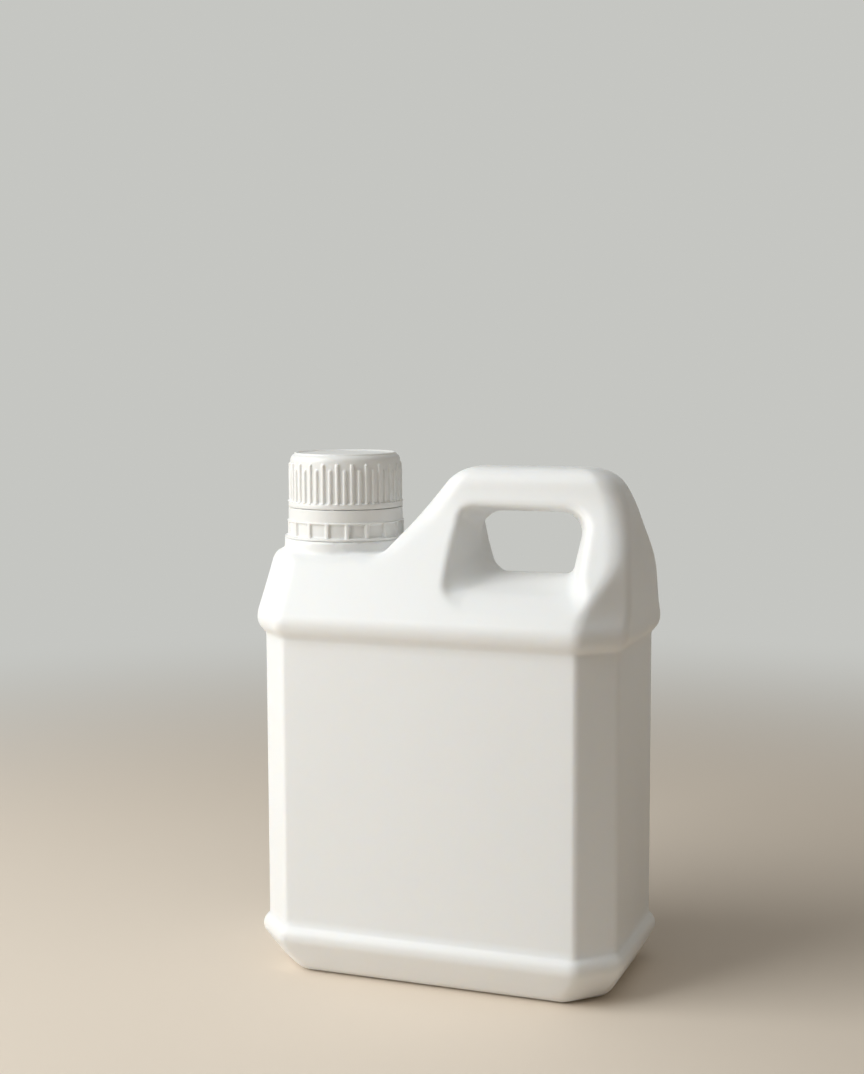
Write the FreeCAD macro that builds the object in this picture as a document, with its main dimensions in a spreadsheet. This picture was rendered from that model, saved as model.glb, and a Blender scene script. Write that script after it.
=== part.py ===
import FreeCAD
import Part
import Sketcher
import math
import os

# Plastic jerrycan of about one litre, with a screw cap and its tamper-evident ring. Millimetres.
# X runs along the can towards the handle, Y across it, Z up. The origin is the middle of the foot.

document = FreeCAD.newDocument("jerrycan")

# ---------------------------------------------------------------- sizes

SIZES = {
    # panel between the two beads
    "panel_length": 126.0,
    "panel_depth": 68.5,
    "panel_cut": 11.4,
    "panel_corner": 2.5,
    "panel_bottom": 17.4,
    "panel_top": 117.1,
    "wall": 1.0,
    # bead round the base, and the foot under it
    "bead_out": 2.3,
    "bead_radius": 4.3,
    "foot_slope": 29.0,
    "foot_radius": 2.5,
    "foot_corner": 4.0,
    "foot_cut": 2.5,
    # bead round the shoulder
    "ring_out": 3.0,
    "ring_radius": 6.0,
    "ring_slope": 49.1,
    # shoulder
    "shoulder_rise": 28.4,
    "shoulder_lean": 35.7,
    "shoulder_edge": 4.2,
    "left_lean": 2.5,
    "upright_corner": 6.2,
    "fade_drop": 18.5,
    "fade_height": 18.0,
    # handle
    "handle_rise": 29.5,
    "handle_depth": 20.4,
    "handle_edge": 5.2,
    "handle_blend": 30.0,
    "handle_set_in": 0.3,
    "end_start_drop": 14.5,
    "end_curve": 126.0,
    "end_top_drop": 15.0,
    "end_top_curve": 33.0,
    "slope_from_end": 42.1,
    "slope_angle": 52.2,
    "slope_foot_corner": 12.0,
    "slope_top_corner": 6.5,
    "slope_corner_rise": 20.0,
    "slope_top_curve": 14.0,
    # finger hole through the handle
    "hole_from_slope": 28.8,
    "hole_end_top": 18.1,
    "hole_end_bottom": 23.0,
    "hole_roof": 15.0,
    "hole_floor": 6.3,
    "hole_corner_top_left": 5.0,
    "hole_corner_top_right": 7.0,
    "hole_corner_low_left": 8.0,
    "hole_corner_low_right": 3.0,
    "flare_left_low": 0.11,
    "flare_left_high": 0.32,
    "flare_right": 0.35,
    "flare_top": 0.20,
    "flare_bottom": 0.17,
    # neck
    "neck_from_end": 20.8,
    "neck_radius": 16.6,
    "neck_bore": 14.8,
    "neck_height": 31.0,
    "neck_bead_radius": 18.1,
    "neck_bead_rise": 7.3,
    "neck_bead_height": 2.0,
    "collar_radius": 21.5,
    "collar_height": 3.8,
    # screw cap
    "cap_radius": 19.3,
    "cap_bore": 18.1,
    "cap_roof": 1.5,
    "cap_edge": 1.6,
    "cap_dish": 0.5,
    "cap_lip": 0.5,
    "cap_flange_radius": 20.1,
    "cap_flange_height": 1.9,
    "rib_count": 24,
    "rib_out": 0.65,
    "rib_width": 1.2,
    "rib_crest_width": 0.72,
    "rib_set_in": 0.42,
    "rib_drop": 3.1,
    "short_rib_drop": 5.1,
    "liner_radius": 17.6,
    "liner_thickness": 1.0,
    # tamper-evident ring left on the neck
    "break_gap": 0.3,
    "ring_bore": 18.5,
    "band_radius": 20.1,
    "band_height": 4.45,
    "window_band_radius": 20.6,
    "window_band_height": 5.3,
    "ring_foot": 0.7,
    "ring_foot_radius": 21.4,
    "window_count": 18,
    "window_depth": 0.7,
    "window_turn": 4.9,
    "window_rib": 1.1,
    "hook_reach": 0.6,
    "hook_height": 1.2,
    "hook_gap": 0.3,
    "bridge_count": 9,
    "bridge_width": 1.0,
    "bridge_thickness": 1.1,
    "bridge_set_in": 0.1,
    "bridge_root": 0.5,
    "bridge_gap": 0.1,
}

sheet = document.addObject("Spreadsheet::Sheet", "Sizes")
for row, (alias, number) in enumerate(SIZES.items(), start=1):
    sheet.set("A%d" % row, alias)
    sheet.set("B%d" % row, str(number))
    sheet.setAlias("B%d" % row, alias)
document.recompute()


def size(alias):
    """The number in the cell with this alias."""
    return float(sheet.get(alias))


def shoulder_height():
    """Height of the flat that carries the neck."""
    return size("panel_top") + size("shoulder_rise")


def handle_height():
    """Height of the handle's top."""
    return shoulder_height() + size("handle_rise")


def slope_start():
    """Where the slope up to the handle meets the flat, along the can."""
    return size("slope_from_end") - size("panel_length") / 2


# ---------------------------------------------------------------- outlines at one height


def rounded_outline(corners, radii, height):
    """A closed wire of straight sides, with each corner rounded by its own radius."""
    points = [FreeCAD.Vector(x, y, height) for x, y in corners]
    arcs = []
    for index, corner in enumerate(points):
        back = (points[index - 1] - corner).normalize()
        ahead = (points[(index + 1) % len(points)] - corner).normalize()
        half_angle = back.getAngle(ahead) / 2
        tangent = radii[index] / math.tan(half_angle)
        bulge = radii[index] / math.sin(half_angle) - radii[index]
        middle = corner + (back + ahead).normalize() * bulge
        arcs.append((corner + back * tangent, middle, corner + ahead * tangent))
    edges = []
    for index, (start, middle, end) in enumerate(arcs):
        edges.append(Part.Arc(start, middle, end).toShape())
        edges.append(Part.LineSegment(end, arcs[(index + 1) % len(arcs)][0]).toShape())
    return Part.Wire(edges)


DIAGONAL_SHARE = 2 - math.sqrt(2)


def can_outline(left, right, depth, left_cut, right_cut, corner, height):
    """A rectangle with its four corners cut off, and the eight corners this leaves rounded."""
    corners = [
        (right, right_cut - depth), (right, depth - right_cut),
        (right - right_cut, depth), (left_cut - left, depth),
        (-left, depth - left_cut), (-left, left_cut - depth),
        (left_cut - left, -depth), (right - right_cut, -depth),
    ]
    return rounded_outline(corners, [corner] * 8, height)


def offset_outline(out, height, corner=None, more_cut=0):
    """The panel's outline, moved outwards by an offset."""
    length = size("panel_length") / 2 + out
    depth = size("panel_depth") / 2 + out
    cut = size("panel_cut") + out * DIAGONAL_SHARE + more_cut
    if corner is None:
        corner = size("panel_corner") + out
    return can_outline(length, length, depth, cut, cut, corner, height)


def loft(outlines, ruled=False):
    """A closed solid through the outlines, straight between them or smooth."""
    return Part.makeLoft(outlines, True, ruled)


# ---------------------------------------------------------------- foot, base bead and panel

ARC_STEPS = 6
PLANE_STEPS = 8
# the rounding of the slope's corners shrinks by this share of what the top edge draws in
SLOPE_CORNER_SHARE = 0.6
# corners that turn round are cut this many times as deep as their rounding alone needs
ROUND_CUT_SHARE = 1.2
SMALLEST_CORNER = 0.3


def lower_solids(inset):
    """The foot, base bead and panel, with every face moved inwards by the inset."""
    slope = math.radians(size("foot_slope"))
    radius = size("bead_radius") - inset
    centre_out = size("bead_out") - size("bead_radius")
    centre_height = size("panel_bottom") - math.sqrt(size("bead_radius") ** 2 - centre_out ** 2)
    last_angle = math.acos((-inset - centre_out) / radius)
    bead = []
    for step in range(ARC_STEPS + 1):
        angle = -slope + (last_angle + slope) * step / ARC_STEPS
        bead.append((centre_out + radius * math.cos(angle),
                     centre_height + radius * math.sin(angle)))
    # the foot's rounding is tangent to the floor and to the slope under the bead
    foot_radius = size("foot_radius") - inset
    low_out, low_height = bead[0]
    foot_height = inset + foot_radius
    slope_out = low_out - (low_height - foot_height) * math.tan(slope)
    foot_centre = slope_out - foot_radius / math.cos(slope)
    foot = []
    for step in range(ARC_STEPS + 1):
        angle = -math.pi / 2 + (math.pi / 2 - slope) * step / ARC_STEPS
        foot.append((foot_centre + foot_radius * math.cos(angle),
                     foot_height + foot_radius * math.sin(angle)))
    foot_corner = size("foot_corner") - inset
    bead_corner = size("panel_corner") + bead[0][0]
    panel_corner = size("panel_corner") - inset
    return [
        loft([offset_outline(*point, foot_corner, size("foot_cut")) for point in foot]),
        loft([offset_outline(*foot[-1], foot_corner, size("foot_cut")),
              offset_outline(*bead[0], bead_corner)], True),
        loft([offset_outline(out, height) for out, height in bead]),
        loft([offset_outline(-inset, bead[-1][1], panel_corner),
              offset_outline(-inset, size("panel_top") + inset, panel_corner)], True),
    ]


# ---------------------------------------------------------------- shoulder and handle


def ring_nose():
    """How far out and how high the middle of the shoulder ring's round nose lies."""
    # the ring's underside starts at the panel's top edge and is tangent to the nose
    slope = math.radians(size("ring_slope"))
    radius = size("ring_radius")
    out = size("ring_out") - radius
    return out, size("panel_top") + radius / math.cos(slope) + out * math.tan(slope)


def fade(height):
    """Goes from 0 to 1 over the heights where the cut corners turn into round ones."""
    share = min(max((height - shoulder_height() + size("fade_drop")) / size("fade_height"), 0), 1)
    return (1 - math.cos(math.pi * share)) / 2


def front_plane():
    """Depth and height where the leaning front plane starts, and the height where it ends."""
    lean = math.radians(size("shoulder_lean"))
    nose_out, nose_height = ring_nose()
    depth = size("panel_depth") / 2 + nose_out + size("ring_radius") * math.cos(lean)
    start = nose_height + size("ring_radius") * math.sin(lean)
    end_depth = size("handle_depth") / 2 + size("handle_blend") * (1 - math.cos(lean))
    return depth, start, start + (depth - end_depth) / math.tan(lean)


def front_depth(height):
    """Distance from the middle to the front face, from the ring's nose up to the handle's top."""
    lean = math.radians(size("shoulder_lean"))
    plane_depth, plane_start, plane_end = front_plane()
    nose_out, nose_height = ring_nose()
    blend = size("handle_blend")
    blend_end = plane_end + blend * math.sin(lean)
    if height <= plane_start:
        bulge = math.sqrt(size("ring_radius") ** 2 - (height - nose_height) ** 2)
        return size("panel_depth") / 2 + nose_out + bulge
    if height <= plane_end:
        return plane_depth - (height - plane_start) * math.tan(lean)
    rise = max(blend_end - height, 0)
    return size("handle_depth") / 2 + blend - math.sqrt(blend ** 2 - rise ** 2)


def right_reach(height):
    """Distance from the middle to the handle's end, upright and then in two arcs."""
    widest = size("panel_length") / 2 + size("ring_out")
    curve = size("end_curve")
    start = shoulder_height() - size("end_start_drop")
    top_start = handle_height() - size("end_top_drop")
    if height <= start:
        return widest
    if height <= top_start:
        return widest - curve + math.sqrt(curve ** 2 - (height - start) ** 2)
    lean = math.asin((top_start - start) / curve)
    top_curve = size("end_top_curve")
    centre = widest - curve + (curve - top_curve) * math.cos(lean)
    rise = height - top_start + top_curve * math.sin(lean)
    return centre + math.sqrt(top_curve ** 2 - rise ** 2)


def left_reach(height):
    """Distance from the middle to the leaning end beside the neck."""
    widest = size("panel_length") / 2 + size("ring_out")
    return widest - (height - ring_nose()[1]) * math.tan(math.radians(size("left_lean")))


def slope_reach(height, inset):
    """Where the slope up to the handle lies along the can, with the arc at its top."""
    slope = math.radians(size("slope_angle"))
    curve = size("slope_top_curve") - inset
    top = handle_height() - inset
    foot = slope_start() + inset / math.sin(slope)
    line = foot + (height - shoulder_height()) / math.tan(slope)
    arc_start = top - curve * (1 - math.cos(slope))
    if height <= arc_start:
        return line
    start = foot + (arc_start - shoulder_height()) / math.tan(slope)
    centre = start + curve * math.sin(slope)
    return centre - math.sqrt(max(curve ** 2 - (height - top + curve) ** 2, 0))


def steepness(reach, height):
    """How much longer a leaning face's wall is when it is measured level."""
    step = 0.01
    return math.hypot(1, (reach(height + step) - reach(height - step)) / (2 * step))


def even_heights(start, end, count):
    """Evenly spaced heights from a start to an end, both included."""
    return [start + (end - start) * step / count for step in range(count + 1)]


def arc_heights(top, edge):
    """Heights up a rounded top edge, each with how far the rounding draws the sides in."""
    angles = [math.pi / 2 * step / ARC_STEPS for step in range(ARC_STEPS + 1)]
    return [(top - edge + edge * math.sin(angle), edge * (1 - math.cos(angle))) for angle in angles]


def corner_cuts(height):
    """The cut corners beside the neck and at the handle's end, and the corners' radius."""
    ring_cut = size("panel_cut") + size("ring_out") * DIAGONAL_SHARE
    round_cut = ROUND_CUT_SHARE * size("upright_corner") * DIAGONAL_SHARE
    ring_corner = size("panel_corner") + size("ring_out")
    nose_height = ring_nose()[1]
    share = min((height - nose_height) / (handle_height() - nose_height), 1)
    left_cut = ring_cut + (round_cut - ring_cut) * share ** 2
    right_cut = ring_cut + (round_cut - ring_cut) * fade(height)
    corner = ring_corner + (size("upright_corner") - ring_corner) * fade(height)
    return left_cut, right_cut, corner


def shoulder_outline(height, inset, shrink):
    """The shoulder's outline at a height, drawn in by the wall and by its top edge's rounding."""
    left_cut, right_cut, corner = corner_cuts(height)
    moved = inset + shrink
    cut_moved = moved * DIAGONAL_SHARE
    depth = front_depth(height) - inset * steepness(front_depth, height) - shrink
    return can_outline(left_reach(height) - moved, right_reach(height) - moved, depth,
                       left_cut - cut_moved, right_cut - cut_moved, corner - moved, height)


def shoulder_solids(inset):
    """The shoulder ring and the block up to the flat that carries the neck."""
    nose_out, nose_height = ring_nose()
    radius = size("ring_radius") - inset
    below_level = math.pi / 2 - math.radians(size("ring_slope"))
    nose = []
    for step in range(ARC_STEPS + 1):
        angle = -below_level * (1 - step / ARC_STEPS)
        nose.append(offset_outline(nose_out + radius * math.cos(angle),
                                   nose_height + radius * math.sin(angle)))
    edge_rise = inset * math.tan(below_level / 2)
    underside = [offset_outline(-inset, size("panel_top") + edge_rise), nose[0]]
    top = shoulder_height() - inset
    edge = size("shoulder_edge") - inset
    plane_start = front_plane()[1]
    crown = even_heights(nose_height, plane_start, 3)[1:]
    return [
        loft(underside, True),
        loft(nose + [shoulder_outline(height, inset, 0) for height in crown]),
        loft([shoulder_outline(height, inset, 0)
              for height in even_heights(plane_start, top - edge, PLANE_STEPS)], True),
        loft([shoulder_outline(height, inset, shrink) for height, shrink in arc_heights(top, edge)]),
    ]


def handle_outline(height, inset, shrink):
    """The handle's outline at a height, drawn in by the wall and by its top edge's rounding."""
    set_in = size("handle_set_in")
    moved = inset + shrink + set_in
    right_cut, corner = corner_cuts(height)[1:]
    right_cut -= moved * DIAGONAL_SHARE
    depth = front_depth(height) - inset * steepness(front_depth, height) - shrink - set_in
    right = right_reach(height) - inset * steepness(right_reach, height) - shrink - set_in
    left = slope_reach(height, inset)
    share = min(max((height - shoulder_height()) / size("slope_corner_rise"), 0), 1)
    slope_corner = (size("slope_foot_corner") * (1 - share) + size("slope_top_corner") * share
                    - inset - SLOPE_CORNER_SHARE * shrink)
    corners = [(right, right_cut - depth), (right, depth - right_cut),
               (right - right_cut, depth), (left, depth),
               (left, -depth), (right - right_cut, -depth)]
    end_corner = max(corner - moved, SMALLEST_CORNER)
    radii = [end_corner] * 3 + [slope_corner] * 2 + [end_corner]
    return rounded_outline(corners, radii, height)


def handle_solids(inset):
    """The block that rises out of the shoulder to the handle, before its finger hole."""
    top = handle_height() - inset
    edge = size("handle_edge") - inset
    plane_start, plane_end = front_plane()[1:]
    above = [(height, 0) for height in even_heights(plane_end, top - edge, PLANE_STEPS)[:-1]]
    above += arc_heights(top, edge)
    return [
        loft([handle_outline(height, inset, 0)
              for height in even_heights(plane_start + inset, plane_end, PLANE_STEPS)], True),
        loft([handle_outline(height, inset, shrink) for height, shrink in above]),
    ]


def finger_hole(inset):
    """The flared hole through the handle, narrowest in the middle where the mould parts."""
    reach = size("panel_depth") / 2

    def outline(share):
        far = reach * share
        left = slope_start() + size("hole_from_slope") - inset
        left_bottom = left - far * size("flare_left_low")
        left_top = left - far * size("flare_left_high")
        top = handle_height() - size("hole_roof") + inset + far * size("flare_top")
        bottom = shoulder_height() - size("hole_floor") - inset - far * size("flare_bottom")
        end = size("panel_length") / 2 + inset + far * size("flare_right")
        right_top = end - size("hole_end_top")
        right_bottom = end - size("hole_end_bottom")
        corners = [(left_bottom, bottom), (right_bottom, bottom), (right_top, top), (left_top, top)]
        radii = [size("hole_corner_low_left"), size("hole_corner_low_right"),
                 size("hole_corner_top_right"), size("hole_corner_top_left")]
        return rounded_outline(corners, [radius + inset for radius in radii], 0)

    wires = []
    for share, side in ((1, -1), (0, 0), (1, 1)):
        wire = outline(share)
        wire.rotate(FreeCAD.Vector(), FreeCAD.Vector(1, 0, 0), 90)
        wire.translate(FreeCAD.Vector(0, side * reach, 0))
        wires.append(wire)
    return loft(wires, True)


def body_shape(inset):
    """The whole can without its neck, with every face moved inwards by the inset."""
    solids = lower_solids(inset) + shoulder_solids(inset) + handle_solids(inset)
    return solids[0].multiFuse(solids[1:]).cut(finger_hole(inset))


def add_feature(name, shape):
    feature = document.addObject("Part::Feature", name)
    feature.Shape = shape
    return feature


outside = add_feature("can_outside", body_shape(0))
inside = add_feature("can_inside", body_shape(size("wall")))

# ---------------------------------------------------------------- neck

NECK_AXIS = "(Sizes.neck_from_end - Sizes.panel_length / 2)"
SHOULDER = "(Sizes.panel_top + Sizes.shoulder_rise)"
NECK_ROOT = "(%s - 2 * Sizes.wall)" % SHOULDER
NECK_TOP = "(%s + Sizes.neck_height)" % SHOULDER
NECK_BEAD_BOTTOM = "(%s + Sizes.neck_bead_rise)" % SHOULDER
COLLAR_TOP = "(%s + Sizes.collar_height)" % SHOULDER


def add_cylinder(name, radius, bottom, top):
    """A cylinder on the neck's axis between two heights, bound to the sheet."""
    cylinder = document.addObject("Part::Cylinder", name)
    cylinder.setExpression("Radius", radius)
    cylinder.setExpression("Height", "(%s) - (%s)" % (top, bottom))
    cylinder.setExpression("Placement.Base.x", NECK_AXIS)
    cylinder.setExpression("Placement.Base.z", bottom)
    return cylinder


collar = add_cylinder("neck_collar", "Sizes.collar_radius", NECK_ROOT, COLLAR_TOP)
tube = add_cylinder("neck_tube", "Sizes.neck_radius", NECK_ROOT, NECK_TOP)
bead = add_cylinder("neck_bead", "Sizes.neck_bead_radius", NECK_BEAD_BOTTOM,
                    NECK_BEAD_BOTTOM + " + Sizes.neck_bead_height")
bore = add_cylinder("neck_bore", "Sizes.neck_bore", NECK_ROOT + " - 3 * Sizes.wall",
                    NECK_TOP + " + Sizes.wall")

solid_can = document.addObject("Part::MultiFuse", "can_with_neck")
solid_can.Shapes = [outside, collar, tube, bead]
hollow = document.addObject("Part::MultiFuse", "can_hollow")
hollow.Shapes = [inside, bore]
bottle = document.addObject("Part::Cut", "bottle_shell")
bottle.Base = solid_can
bottle.Tool = hollow
bottle.Label = "bottle"
document.recompute()


# ---------------------------------------------------------------- turned pieces of the closure


def value(expression):
    """What an expression on the sheet's cells comes to."""
    return float(sheet.evalExpression(expression))


def origin_plane(body, role):
    return next(plane for plane in body.Origin.OriginFeatures if plane.Role == role)


def add_body(name):
    """A PartDesign body standing on the neck's axis."""
    body = document.addObject("PartDesign::Body", name)
    body.setExpression("Placement.Base.x", NECK_AXIS)
    return body


def add_sketch(body, name, role, corners, offset=None):
    """A closed sketch with straight sides, every corner held by two expressions on the sheet."""
    sketch = body.newObject("Sketcher::SketchObject", name)
    sketch.AttachmentSupport = [(origin_plane(body, role), "")]
    sketch.MapMode = "FlatFace"
    if offset:
        sketch.setExpression("AttachmentOffset.Base.z", offset)
    points = [FreeCAD.Vector(value(x), value(y), 0) for x, y in corners]
    for index, point in enumerate(points):
        sketch.addGeometry(Part.LineSegment(point, points[(index + 1) % len(points)]))
    for index in range(len(points)):
        after = (index + 1) % len(points)
        sketch.addConstraint(Sketcher.Constraint("Coincident", index, 2, after, 1))
    for index, (x, y) in enumerate(corners):
        for kind, expression, number in (("DistanceX", x, points[index].x),
                                         ("DistanceY", y, points[index].y)):
            if expression == "0":
                axis = -2 if kind == "DistanceX" else -1
                sketch.addConstraint(Sketcher.Constraint("PointOnObject", index, 1, axis))
                continue
            held = sketch.addConstraint(Sketcher.Constraint(kind, -1, 1, index, 1, number))
            sketch.setExpression("Constraints[%d]" % held, expression)
    return sketch


def add_turned(body, name, corners):
    """A piece turned about the body's upright axis from corners of radius and height."""
    sketch = add_sketch(body, name + "_outline", "XZ_Plane", corners)
    turned = body.newObject("PartDesign::Revolution", name)
    turned.Profile = sketch
    turned.ReferenceAxis = (sketch, ["V_Axis"])
    turned.Angle = 360
    document.recompute()
    return turned


def add_ring_of(body, feature, count):
    """Repeats a feature round the body's upright axis."""
    pattern = body.newObject("PartDesign::PolarPattern", feature.Name + "_ring")
    pattern.Originals = [feature]
    pattern.Axis = (body.Origin.OriginFeatures[2], [""])
    pattern.Angle = 360
    pattern.setExpression("Occurrences", count)
    body.Tip = pattern
    document.recompute()
    return pattern


CAP_ROOF = "(%s + Sizes.liner_thickness)" % NECK_TOP
CAP_TOP = "(%s + Sizes.cap_roof)" % CAP_ROOF
RING_FOOT_TOP = "(%s + Sizes.ring_foot)" % COLLAR_TOP
WINDOWS_TOP = "(%s + Sizes.window_band_height)" % RING_FOOT_TOP
RING_TOP = "(%s + Sizes.band_height)" % WINDOWS_TOP
CAP_BOTTOM = "(%s + Sizes.break_gap)" % RING_TOP
RIB_BOTTOM = "(%s + Sizes.cap_flange_height)" % CAP_BOTTOM
RIB_ROOT = "(%s - 0.5 * Sizes.cap_flange_height)" % RIB_BOTTOM
# the cap's rounded edge is drawn as two flats that meet in the middle of the rounding
CAP_EDGE_MIDDLE = "(1 - sqrt(0.5)) * Sizes.cap_edge"
CAP_DISH_RADIUS = "(Sizes.cap_radius - Sizes.cap_edge - Sizes.cap_lip)"

cap = add_body("cap")
add_turned(cap, "cap_wall", [
    ("Sizes.cap_bore", CAP_BOTTOM),
    ("Sizes.cap_flange_radius", CAP_BOTTOM),
    ("Sizes.cap_flange_radius", RIB_BOTTOM),
    ("Sizes.cap_radius", RIB_BOTTOM),
    ("Sizes.cap_radius", CAP_TOP + " - Sizes.cap_edge"),
    ("Sizes.cap_radius - " + CAP_EDGE_MIDDLE, CAP_TOP + " - " + CAP_EDGE_MIDDLE),
    ("Sizes.cap_radius - Sizes.cap_edge", CAP_TOP),
    (CAP_DISH_RADIUS, CAP_TOP),
    (CAP_DISH_RADIUS + " - Sizes.cap_dish", CAP_TOP + " - Sizes.cap_dish"),
    ("0", CAP_TOP + " - Sizes.cap_dish"),
    ("0", CAP_ROOF),
    ("Sizes.cap_bore", CAP_ROOF),
])

# every rib is set into the cap's wall, and narrows outwards to its crest
for name, drop, turn in (("long_rib", "Sizes.rib_drop", "0"),
                         ("short_rib", "Sizes.short_rib_drop", "180 / Sizes.rib_count")):
    root = "(Sizes.cap_radius - Sizes.rib_set_in)"
    crest = "(Sizes.cap_radius + Sizes.rib_out)"
    sketch = add_sketch(cap, name + "_outline", "XY_Plane", [
        (root, "-0.5 * Sizes.rib_width"), (crest, "-0.5 * Sizes.rib_crest_width"),
        (crest, "0.5 * Sizes.rib_crest_width"), (root, "0.5 * Sizes.rib_width"),
    ], offset=RIB_ROOT)
    sketch.setExpression("AttachmentOffset.Rotation.Angle", turn)
    rib = cap.newObject("PartDesign::Pad", name)
    rib.Profile = sketch
    rib.setExpression("Length", "%s - %s - %s" % (CAP_TOP, drop, RIB_ROOT))
    document.recompute()
    add_ring_of(cap, rib, "Sizes.rib_count")

liner = add_body("cap_liner")
add_turned(liner, "liner_disc", [
    ("0", NECK_TOP),
    ("Sizes.liner_radius", NECK_TOP),
    ("Sizes.liner_radius", CAP_ROOF),
    ("0", CAP_ROOF),
])

ring = add_body("tamper_ring")
HOOK_BOTTOM = "(%s - Sizes.hook_gap - Sizes.hook_height)" % NECK_BEAD_BOTTOM
add_turned(ring, "ring_wall", [
    ("Sizes.ring_bore", COLLAR_TOP),
    ("Sizes.ring_foot_radius", COLLAR_TOP),
    ("Sizes.ring_foot_radius", RING_FOOT_TOP),
    ("Sizes.window_band_radius", RING_FOOT_TOP),
    ("Sizes.window_band_radius", WINDOWS_TOP),
    ("Sizes.band_radius", WINDOWS_TOP),
    ("Sizes.band_radius", RING_TOP),
    ("Sizes.ring_bore", RING_TOP),
    ("Sizes.ring_bore", HOOK_BOTTOM + " + Sizes.hook_height"),
    ("Sizes.ring_bore - Sizes.hook_reach", HOOK_BOTTOM + " + Sizes.hook_height"),
    ("Sizes.ring_bore", HOOK_BOTTOM),
])
half_window = "(pi * Sizes.window_band_radius / Sizes.window_count - 0.5 * Sizes.window_rib)"
window_sketch = add_sketch(ring, "window_outline", "XY_Plane", [
    ("Sizes.window_band_radius - Sizes.window_depth", "-1 * " + half_window),
    ("Sizes.ring_foot_radius + Sizes.wall", "-1 * " + half_window),
    ("Sizes.ring_foot_radius + Sizes.wall", half_window),
    ("Sizes.window_band_radius - Sizes.window_depth", half_window),
], offset=RING_FOOT_TOP)
window_sketch.setExpression("AttachmentOffset.Rotation.Angle", "Sizes.window_turn")
window = ring.newObject("PartDesign::Pocket", "window")
window.Profile = window_sketch
window.Reversed = True
window.setExpression("Length", "Sizes.window_band_height")
document.recompute()
add_ring_of(ring, window, "Sizes.window_count")
bridge_outside = "(Sizes.band_radius - Sizes.bridge_set_in)"
bridge_inside = "(%s - Sizes.bridge_thickness)" % bridge_outside
bridge_sketch = add_sketch(ring, "bridge_outline", "XY_Plane", [
    (bridge_inside, "-0.5 * Sizes.bridge_width"), (bridge_outside, "-0.5 * Sizes.bridge_width"),
    (bridge_outside, "0.5 * Sizes.bridge_width"), (bridge_inside, "0.5 * Sizes.bridge_width"),
], offset=RING_TOP + " - Sizes.bridge_root")
bridge = ring.newObject("PartDesign::Pad", "bridge")
bridge.Profile = bridge_sketch
bridge.setExpression("Length", "Sizes.bridge_root + Sizes.break_gap - Sizes.bridge_gap")
document.recompute()
add_ring_of(ring, bridge, "Sizes.bridge_count")

# ---------------------------------------------------------------- check and export

document.recompute()
for item in document.Objects:
    if {"Invalid", "Error"} & set(item.State):
        raise RuntimeError("%s failed: %s" % (item.Name, item.State))

pieces = [bottle, cap, liner, ring]
for piece in pieces:
    if piece.Shape.isNull() or not piece.Shape.isValid():
        raise RuntimeError("%s has no valid shape" % piece.Label)

os.makedirs("parts", exist_ok=True)
for piece in pieces:
    piece.Shape.exportStep("parts/%s.step" % piece.Label)
    box = piece.Shape.BoundBox
    print("%-12s %2d solid %9.1f mm3  x %.1f..%.1f  y %.1f..%.1f  z %.1f..%.1f" % (
        piece.Label, len(piece.Shape.Solids), piece.Shape.Volume,
        box.XMin, box.XMax, box.YMin, box.YMax, box.ZMin, box.ZMax))
print("hollow inside %.0f ml" % (hollow.Shape.Volume / 1000))
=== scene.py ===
# %% [markdown]
# # A one-litre plastic jerrycan
#
# The can is blown in one piece from white polyethylene: a straight panel with a bead round its
# foot and another round its shoulder, a shoulder that leans in to a carrying handle, a pocket
# pressed through the handle for the fingers, and a screw neck. A ribbed screw cap closes it over a
# foam liner, and the tamper-evident ring that tears off the cap stays on the neck.
#
# The frame holds the solids of these pieces. Here each of them gets the soft edges, threads and
# plastic finish of the real one, and rides on the body that it belongs to.

# %% Tools and frame
import math

import bmesh
import bpy
import numpy as np
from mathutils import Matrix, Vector


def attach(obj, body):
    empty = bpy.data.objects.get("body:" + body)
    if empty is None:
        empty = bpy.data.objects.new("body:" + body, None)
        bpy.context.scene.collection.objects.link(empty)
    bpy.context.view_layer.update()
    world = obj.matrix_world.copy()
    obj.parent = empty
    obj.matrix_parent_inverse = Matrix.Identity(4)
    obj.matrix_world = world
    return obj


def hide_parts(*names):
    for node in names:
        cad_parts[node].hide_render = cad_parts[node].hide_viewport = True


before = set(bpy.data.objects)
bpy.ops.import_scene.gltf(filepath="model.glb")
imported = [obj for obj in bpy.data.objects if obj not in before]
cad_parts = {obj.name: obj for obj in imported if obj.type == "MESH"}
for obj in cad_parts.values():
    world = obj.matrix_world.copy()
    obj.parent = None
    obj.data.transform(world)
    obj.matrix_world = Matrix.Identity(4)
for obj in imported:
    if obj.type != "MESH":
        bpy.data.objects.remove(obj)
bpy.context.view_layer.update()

MM = 0.001

# %% [markdown]
# ## From arrays to a mesh
#
# Every piece below is worked out as an array of points in millimetres and an array of faces. One
# helper turns them into a Blender mesh in metres, smooth-shaded, with its place in its vertices and
# its object at the origin.

# %% Mesh helper


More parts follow.
